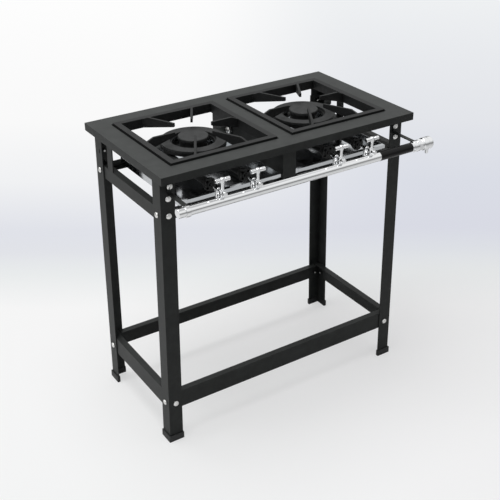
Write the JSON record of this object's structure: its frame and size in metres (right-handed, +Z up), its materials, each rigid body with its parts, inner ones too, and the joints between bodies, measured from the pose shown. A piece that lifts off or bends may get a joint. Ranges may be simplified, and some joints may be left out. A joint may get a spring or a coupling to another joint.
{
  "type": "two-burner gas stove",
  "caption": "Gas stove with cast-iron grates over double-ring burners, on a tall open stand of splayed steel angle legs, with tap handles, front manifold and slide-out drip trays.",
  "frame": {"origin": "on the floor, under the middle of the whole stove", "axes": "+X right along the front, +Y to the back, +Z up"},
  "size_m": [0.7914, 0.4925, 0.812],
  "materials": {
    "paint": "charcoal enamel, semi-matt",
    "iron": "black cast iron, fine grain",
    "chrome": "bright chromed brass and steel",
    "zinc": "zinc plated",
    "galvanised": "galvanised sheet",
    "plastic": "black moulded",
    "sleeve": "black sleeve"
  },
  "bodies": {
    "stove": {"top_pan": "paint", "leg_front_left": "paint", "leg_front_right": "paint", "leg_back_left": "paint", "leg_back_right": "paint", "shoes": "plastic", "lower_rail_front": "paint", "lower_rail_back": "paint", "lower_rail_left": "paint", "lower_rail_right": "paint", "upper_rail_front": "paint", "upper_rail_back": "paint", "upper_rail_left": "paint", "upper_rail_right": "paint", "strap_left": "paint", "strap_right": "paint", "divider": "paint", "divider_bolts": "chrome", "tray_runners": "paint", "burner_bars_front": "paint", "burner_bars_rear": "paint", "leg_bolts": "zinc", "leg_nuts": "zinc", "ring_casting_left": "iron", "ring_casting_right": "iron", "bowl_left": "iron", "bowl_right": "iron", "tubes_left": "iron", "tubes_right": "iron", "tap_body_1": "chrome", "tap_body_2": "chrome", "tap_body_3": "chrome", "tap_body_4": "chrome", "injectors": "chrome", "manifold_tube": "chrome", "manifold_cap": "chrome", "manifold_sleeve": "sleeve", "inlet_union": "chrome", "inlet_body": "chrome", "brackets": "paint", "bracket_screws": "zinc"},
    "left_grate": {"grate_left": "iron"},
    "right_grate": {"grate_right": "iron"},
    "left_ring_cap": {"ring_cap_left": "iron"},
    "right_ring_cap": {"ring_cap_right": "iron"},
    "left_small_cap": {"cap_left": "iron"},
    "right_small_cap": {"cap_right": "iron"},
    "left_tray": {"tray_left": "galvanised"},
    "right_tray": {"tray_right": "galvanised"},
    "air_shutter_1": {"shutter_1": "iron"},
    "air_shutter_2": {"shutter_2": "iron"},
    "air_shutter_3": {"shutter_3": "iron"},
    "air_shutter_4": {"shutter_4": "iron"},
    "tap_1": {"tap_handle_1": "chrome"},
    "tap_2": {"tap_handle_2": "chrome"},
    "tap_3": {"tap_handle_3": "chrome"},
    "tap_4": {"tap_handle_4": "chrome"}
  },
  "joints": [
    {"name": "left_grate_lift", "type": "slide", "parent": "stove", "child": "left_grate", "axis": [0, 0, 1], "range_m": [0, 0.08]},
    {"name": "left_ring_cap_lift", "type": "slide", "parent": "stove", "child": "left_ring_cap", "axis": [0, 0, 1], "range_m": [0, 0.012]},
    {"name": "left_small_cap_lift", "type": "slide", "parent": "stove", "child": "left_small_cap", "axis": [0, 0, 1], "range_m": [0, 0.06]},
    {"name": "left_tray_slide", "type": "slide", "parent": "stove", "child": "left_tray", "axis": [0, -1, 0], "range_m": [0, 0.3]},
    {"name": "right_grate_lift", "type": "slide", "parent": "stove", "child": "right_grate", "axis": [0, 0, 1], "range_m": [0, 0.08]},
    {"name": "right_ring_cap_lift", "type": "slide", "parent": "stove", "child": "right_ring_cap", "axis": [0, 0, 1], "range_m": [0, 0.012]},
    {"name": "right_small_cap_lift", "type": "slide", "parent": "stove", "child": "right_small_cap", "axis": [0, 0, 1], "range_m": [0, 0.06]},
    {"name": "right_tray_slide", "type": "slide", "parent": "stove", "child": "right_tray", "axis": [0, -1, 0], "range_m": [0, 0.3]},
    {"name": "air_shutter_1_turn", "type": "hinge", "parent": "stove", "child": "air_shutter_1", "pos_m": [-0.25678, -0.17175, 0.749], "axis": [0, 1, 0], "range_deg": [0, 45]},
    {"name": "tap_1_turn", "type": "hinge", "parent": "stove", "child": "tap_1", "pos_m": [-0.25678, -0.22925, 0.782], "axis": [0, 0, 1], "range_deg": [0, 90]},
    {"name": "air_shutter_2_turn", "type": "hinge", "parent": "stove", "child": "air_shutter_2", "pos_m": [-0.15779, -0.17175, 0.749], "axis": [0, 1, 0], "range_deg": [0, 45]},
    {"name": "tap_2_turn", "type": "hinge", "parent": "stove", "child": "tap_2", "pos_m": [-0.15779, -0.22925, 0.782], "axis": [0, 0, 1], "range_deg": [0, 90]},
    {"name": "air_shutter_3_turn", "type": "hinge", "parent": "stove", "child": "air_shutter_3", "pos_m": [0.09322, -0.17175, 0.749], "axis": [0, 1, 0], "range_deg": [0, 45]},
    {"name": "tap_3_turn", "type": "hinge", "parent": "stove", "child": "tap_3", "pos_m": [0.09322, -0.22925, 0.782], "axis": [0, 0, 1], "range_deg": [0, 90]},
    {"name": "air_shutter_4_turn", "type": "hinge", "parent": "stove", "child": "air_shutter_4", "pos_m": [0.19221, -0.17175, 0.749], "axis": [0, 1, 0], "range_deg": [0, 45]},
    {"name": "tap_4_turn", "type": "hinge", "parent": "stove", "child": "tap_4", "pos_m": [0.19221, -0.22925, 0.782], "axis": [0, 0, 1], "range_deg": [0, 90]}
  ]
}
